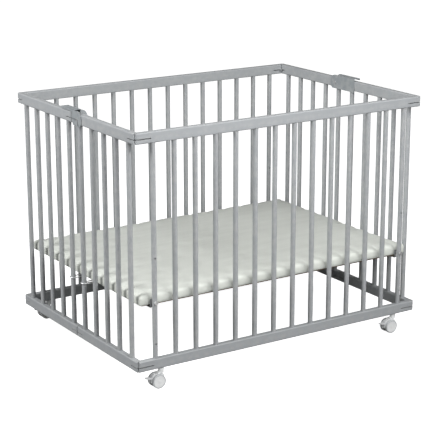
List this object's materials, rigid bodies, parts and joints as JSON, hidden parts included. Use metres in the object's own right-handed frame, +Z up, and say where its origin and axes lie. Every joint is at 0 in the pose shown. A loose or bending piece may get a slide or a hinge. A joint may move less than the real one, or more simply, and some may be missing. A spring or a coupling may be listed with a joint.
{
  "type": "playpen",
  "caption": "Rectangular folding playpen with round bars, padded floor on pins, folding side panels with latches, and braked casters.",
  "frame": {"origin": "on the ground, under the middle of the pen", "axes": "+X along the long panels, +Y from the front panel to the back panel, +Z up"},
  "size_m": [1.0274, 0.7544, 0.762],
  "materials": {
    "painted_rail": "satin grey paint",
    "painted_bar": "satin grey paint",
    "painted_latch": "satin grey paint",
    "hinge_steel": "dull zinc plate",
    "bright_steel": "bright zinc plate",
    "pad_cover": "coated woven cover, pale grey-green",
    "hardboard": "plain hardboard",
    "caster_plastic": "white nylon",
    "wheel_plastic": "white nylon disc with a grey tread",
    "lever_plastic": "light grey nylon"
  },
  "bodies": {
    "back_panel": {"back_top_rail": "painted_rail", "back_bottom_rail": "painted_rail", "back_bars": "painted_bar", "back_corner_hinges": "hinge_steel", "back_floor_pins": "bright_steel"},
    "front_panel": {"front_top_rail": "painted_rail", "front_bottom_rail": "painted_rail", "front_bars": "painted_bar", "front_corner_hinges": "hinge_steel", "front_floor_pins": "bright_steel"},
    "left_link": {"left_centre_links": "hinge_steel"},
    "right_link": {"right_centre_links": "hinge_steel"},
    "left_latch": {"left_latch": "painted_latch", "left_latch_rivet": "bright_steel"},
    "right_latch": {"right_latch": "painted_latch", "right_latch_rivet": "bright_steel"},
    "floor": {"floor_pad": "pad_cover", "floor_board": "hardboard", "floor_hooks": "bright_steel"},
    "left_rear_half": {"left_rear_top_rail": "painted_rail", "left_rear_bottom_rail": "painted_rail", "left_rear_bars": "painted_bar", "left_rear_leaves": "hinge_steel", "left_rear_pins": "hinge_steel", "left_rear_wire_loop": "bright_steel"},
    "left_front_half": {"left_front_top_rail": "painted_rail", "left_front_bottom_rail": "painted_rail", "left_front_bars": "painted_bar", "left_front_leaves": "hinge_steel", "left_front_pins": "hinge_steel", "left_front_wire_loop": "bright_steel"},
    "right_rear_half": {"right_rear_top_rail": "painted_rail", "right_rear_bottom_rail": "painted_rail", "right_rear_bars": "painted_bar", "right_rear_leaves": "hinge_steel", "right_rear_pins": "hinge_steel", "right_rear_wire_loop": "bright_steel"},
    "right_front_half": {"right_front_top_rail": "painted_rail", "right_front_bottom_rail": "painted_rail", "right_front_bars": "painted_bar", "right_front_leaves": "hinge_steel", "right_front_pins": "hinge_steel", "right_front_wire_loop": "bright_steel"},
    "front_left_caster": {"fl_caster_steel": "bright_steel", "fl_caster_hood": "caster_plastic"},
    "front_left_wheels": {"fl_caster_wheels": "wheel_plastic"},
    "front_left_brake": {"fl_caster_lever": "lever_plastic"},
    "front_right_caster": {"fr_caster_steel": "bright_steel", "fr_caster_hood": "caster_plastic"},
    "front_right_wheels": {"fr_caster_wheels": "wheel_plastic"},
    "front_right_brake": {"fr_caster_lever": "lever_plastic"},
    "rear_left_caster": {"rl_caster_steel": "bright_steel", "rl_caster_hood": "caster_plastic"},
    "rear_left_wheels": {"rl_caster_wheels": "wheel_plastic"},
    "rear_left_brake": {"rl_caster_lever": "lever_plastic"},
    "rear_right_caster": {"rr_caster_steel": "bright_steel", "rr_caster_hood": "caster_plastic"},
    "rear_right_wheels": {"rr_caster_wheels": "wheel_plastic"},
    "rear_right_brake": {"rr_caster_lever": "lever_plastic"}
  },
  "joints": [
    {"name": "fold", "type": "hinge", "parent": "back_panel", "child": "left_rear_half", "pos_m": [-0.486, 0.346, 0], "axis": [0, 0, 1], "range_deg": [0, 80], "deforming": ["floor_pad", "floor_board", "floor_hooks"]},
    {"name": "left_rear_link_turn", "type": "hinge", "parent": "left_rear_half", "child": "left_link", "pos_m": [-0.5, 0.024, 0], "axis": [0, 0, 1], "range_deg": [-80, 0]},
    {"name": "left_front_half_turn", "type": "hinge", "parent": "left_link", "child": "left_front_half", "pos_m": [-0.5, -0.024, 0], "axis": [0, 0, 1], "range_deg": [-80, 0]},
    {"name": "front_panel_turn", "type": "hinge", "parent": "left_front_half", "child": "front_panel", "pos_m": [-0.486, -0.346, 0], "axis": [0, 0, 1], "range_deg": [0, 80]},
    {"name": "right_rear_half_turn", "type": "hinge", "parent": "back_panel", "child": "right_rear_half", "pos_m": [0.486, 0.346, 0], "axis": [0, 0, 1], "range_deg": [-80, 0]},
    {"name": "right_rear_link_turn", "type": "hinge", "parent": "right_rear_half", "child": "right_link", "pos_m": [0.5, 0.024, 0], "axis": [0, 0, 1], "range_deg": [0, 80]},
    {"name": "right_front_half_turn", "type": "hinge", "parent": "right_link", "child": "right_front_half", "pos_m": [0.5, -0.024, 0], "axis": [0, 0, 1], "range_deg": [0, 80]},
    {"name": "left_latch_lift", "type": "hinge", "parent": "left_front_half", "child": "left_latch", "pos_m": [-0.5, -0.041, 0.737], "axis": [1, 0, 0], "range_deg": [0, 95]},
    {"name": "right_latch_lift", "type": "hinge", "parent": "right_rear_half", "child": "right_latch", "pos_m": [0.5, 0.041, 0.737], "axis": [-1, 0, 0], "range_deg": [0, 95]},
    {"name": "floor_lift", "type": "slide", "parent": "back_panel", "child": "floor", "axis": [0, 0, 1], "range_m": [0, 0.56]},
    {"name": "front_left_swivel", "type": "hinge", "parent": "front_panel", "child": "front_left_caster", "pos_m": [-0.428, -0.36, 0.058], "axis": [0, 0, 1], "continuous": true},
    {"name": "front_left_roll", "type": "hinge", "parent": "front_left_caster", "child": "front_left_wheels", "pos_m": [-0.442, -0.36, 0.021], "axis": [0, 1, 0], "continuous": true},
    {"name": "front_left_brake_press", "type": "hinge", "parent": "front_left_caster", "child": "front_left_brake", "pos_m": [-0.442, -0.36, 0.021], "axis": [0, -1, 0], "range_deg": [0, 14]},
    {"name": "front_right_swivel", "type": "hinge", "parent": "front_panel", "child": "front_right_caster", "pos_m": [0.428, -0.36, 0.058], "axis": [0, 0, 1], "continuous": true},
    {"name": "front_right_roll", "type": "hinge", "parent": "front_right_caster", "child": "front_right_wheels", "pos_m": [0.414, -0.36, 0.021], "axis": [0, 1, 0], "continuous": true},
    {"name": "front_right_brake_press", "type": "hinge", "parent": "front_right_caster", "child": "front_right_brake", "pos_m": [0.414, -0.36, 0.021], "axis": [0, -1, 0], "range_deg": [0, 14]},
    {"name": "rear_left_swivel", "type": "hinge", "parent": "back_panel", "child": "rear_left_caster", "pos_m": [-0.428, 0.36, 0.058], "axis": [0, 0, 1], "continuous": true},
    {"name": "rear_left_roll", "type": "hinge", "parent": "rear_left_caster", "child": "rear_left_wheels", "pos_m": [-0.442, 0.36, 0.021], "axis": [0, 1, 0], "continuous": true},
    {"name": "rear_left_brake_press", "type": "hinge", "parent": "rear_left_caster", "child": "rear_left_brake", "pos_m": [-0.442, 0.36, 0.021], "axis": [0, -1, 0], "range_deg": [0, 14]},
    {"name": "rear_right_swivel", "type": "hinge", "parent": "back_panel", "child": "rear_right_caster", "pos_m": [0.428, 0.36, 0.058], "axis": [0, 0, 1], "continuous": true},
    {"name": "rear_right_roll", "type": "hinge", "parent": "rear_right_caster", "child": "rear_right_wheels", "pos_m": [0.414, 0.36, 0.021], "axis": [0, 1, 0], "continuous": true},
    {"name": "rear_right_brake_press", "type": "hinge", "parent": "rear_right_caster", "child": "rear_right_brake", "pos_m": [0.414, 0.36, 0.021], "axis": [0, -1, 0], "range_deg": [0, 14]}
  ],
  "couplings": [
    {"joint": "left_rear_link_turn", "follows": "fold", "ratio": -1},
    {"joint": "left_front_half_turn", "follows": "fold", "ratio": -1},
    {"joint": "front_panel_turn", "follows": "fold", "ratio": 1},
    {"joint": "right_rear_half_turn", "follows": "fold", "ratio": -1},
    {"joint": "right_rear_link_turn", "follows": "fold", "ratio": 1},
    {"joint": "right_front_half_turn", "follows": "fold", "ratio": 1}
  ]
}
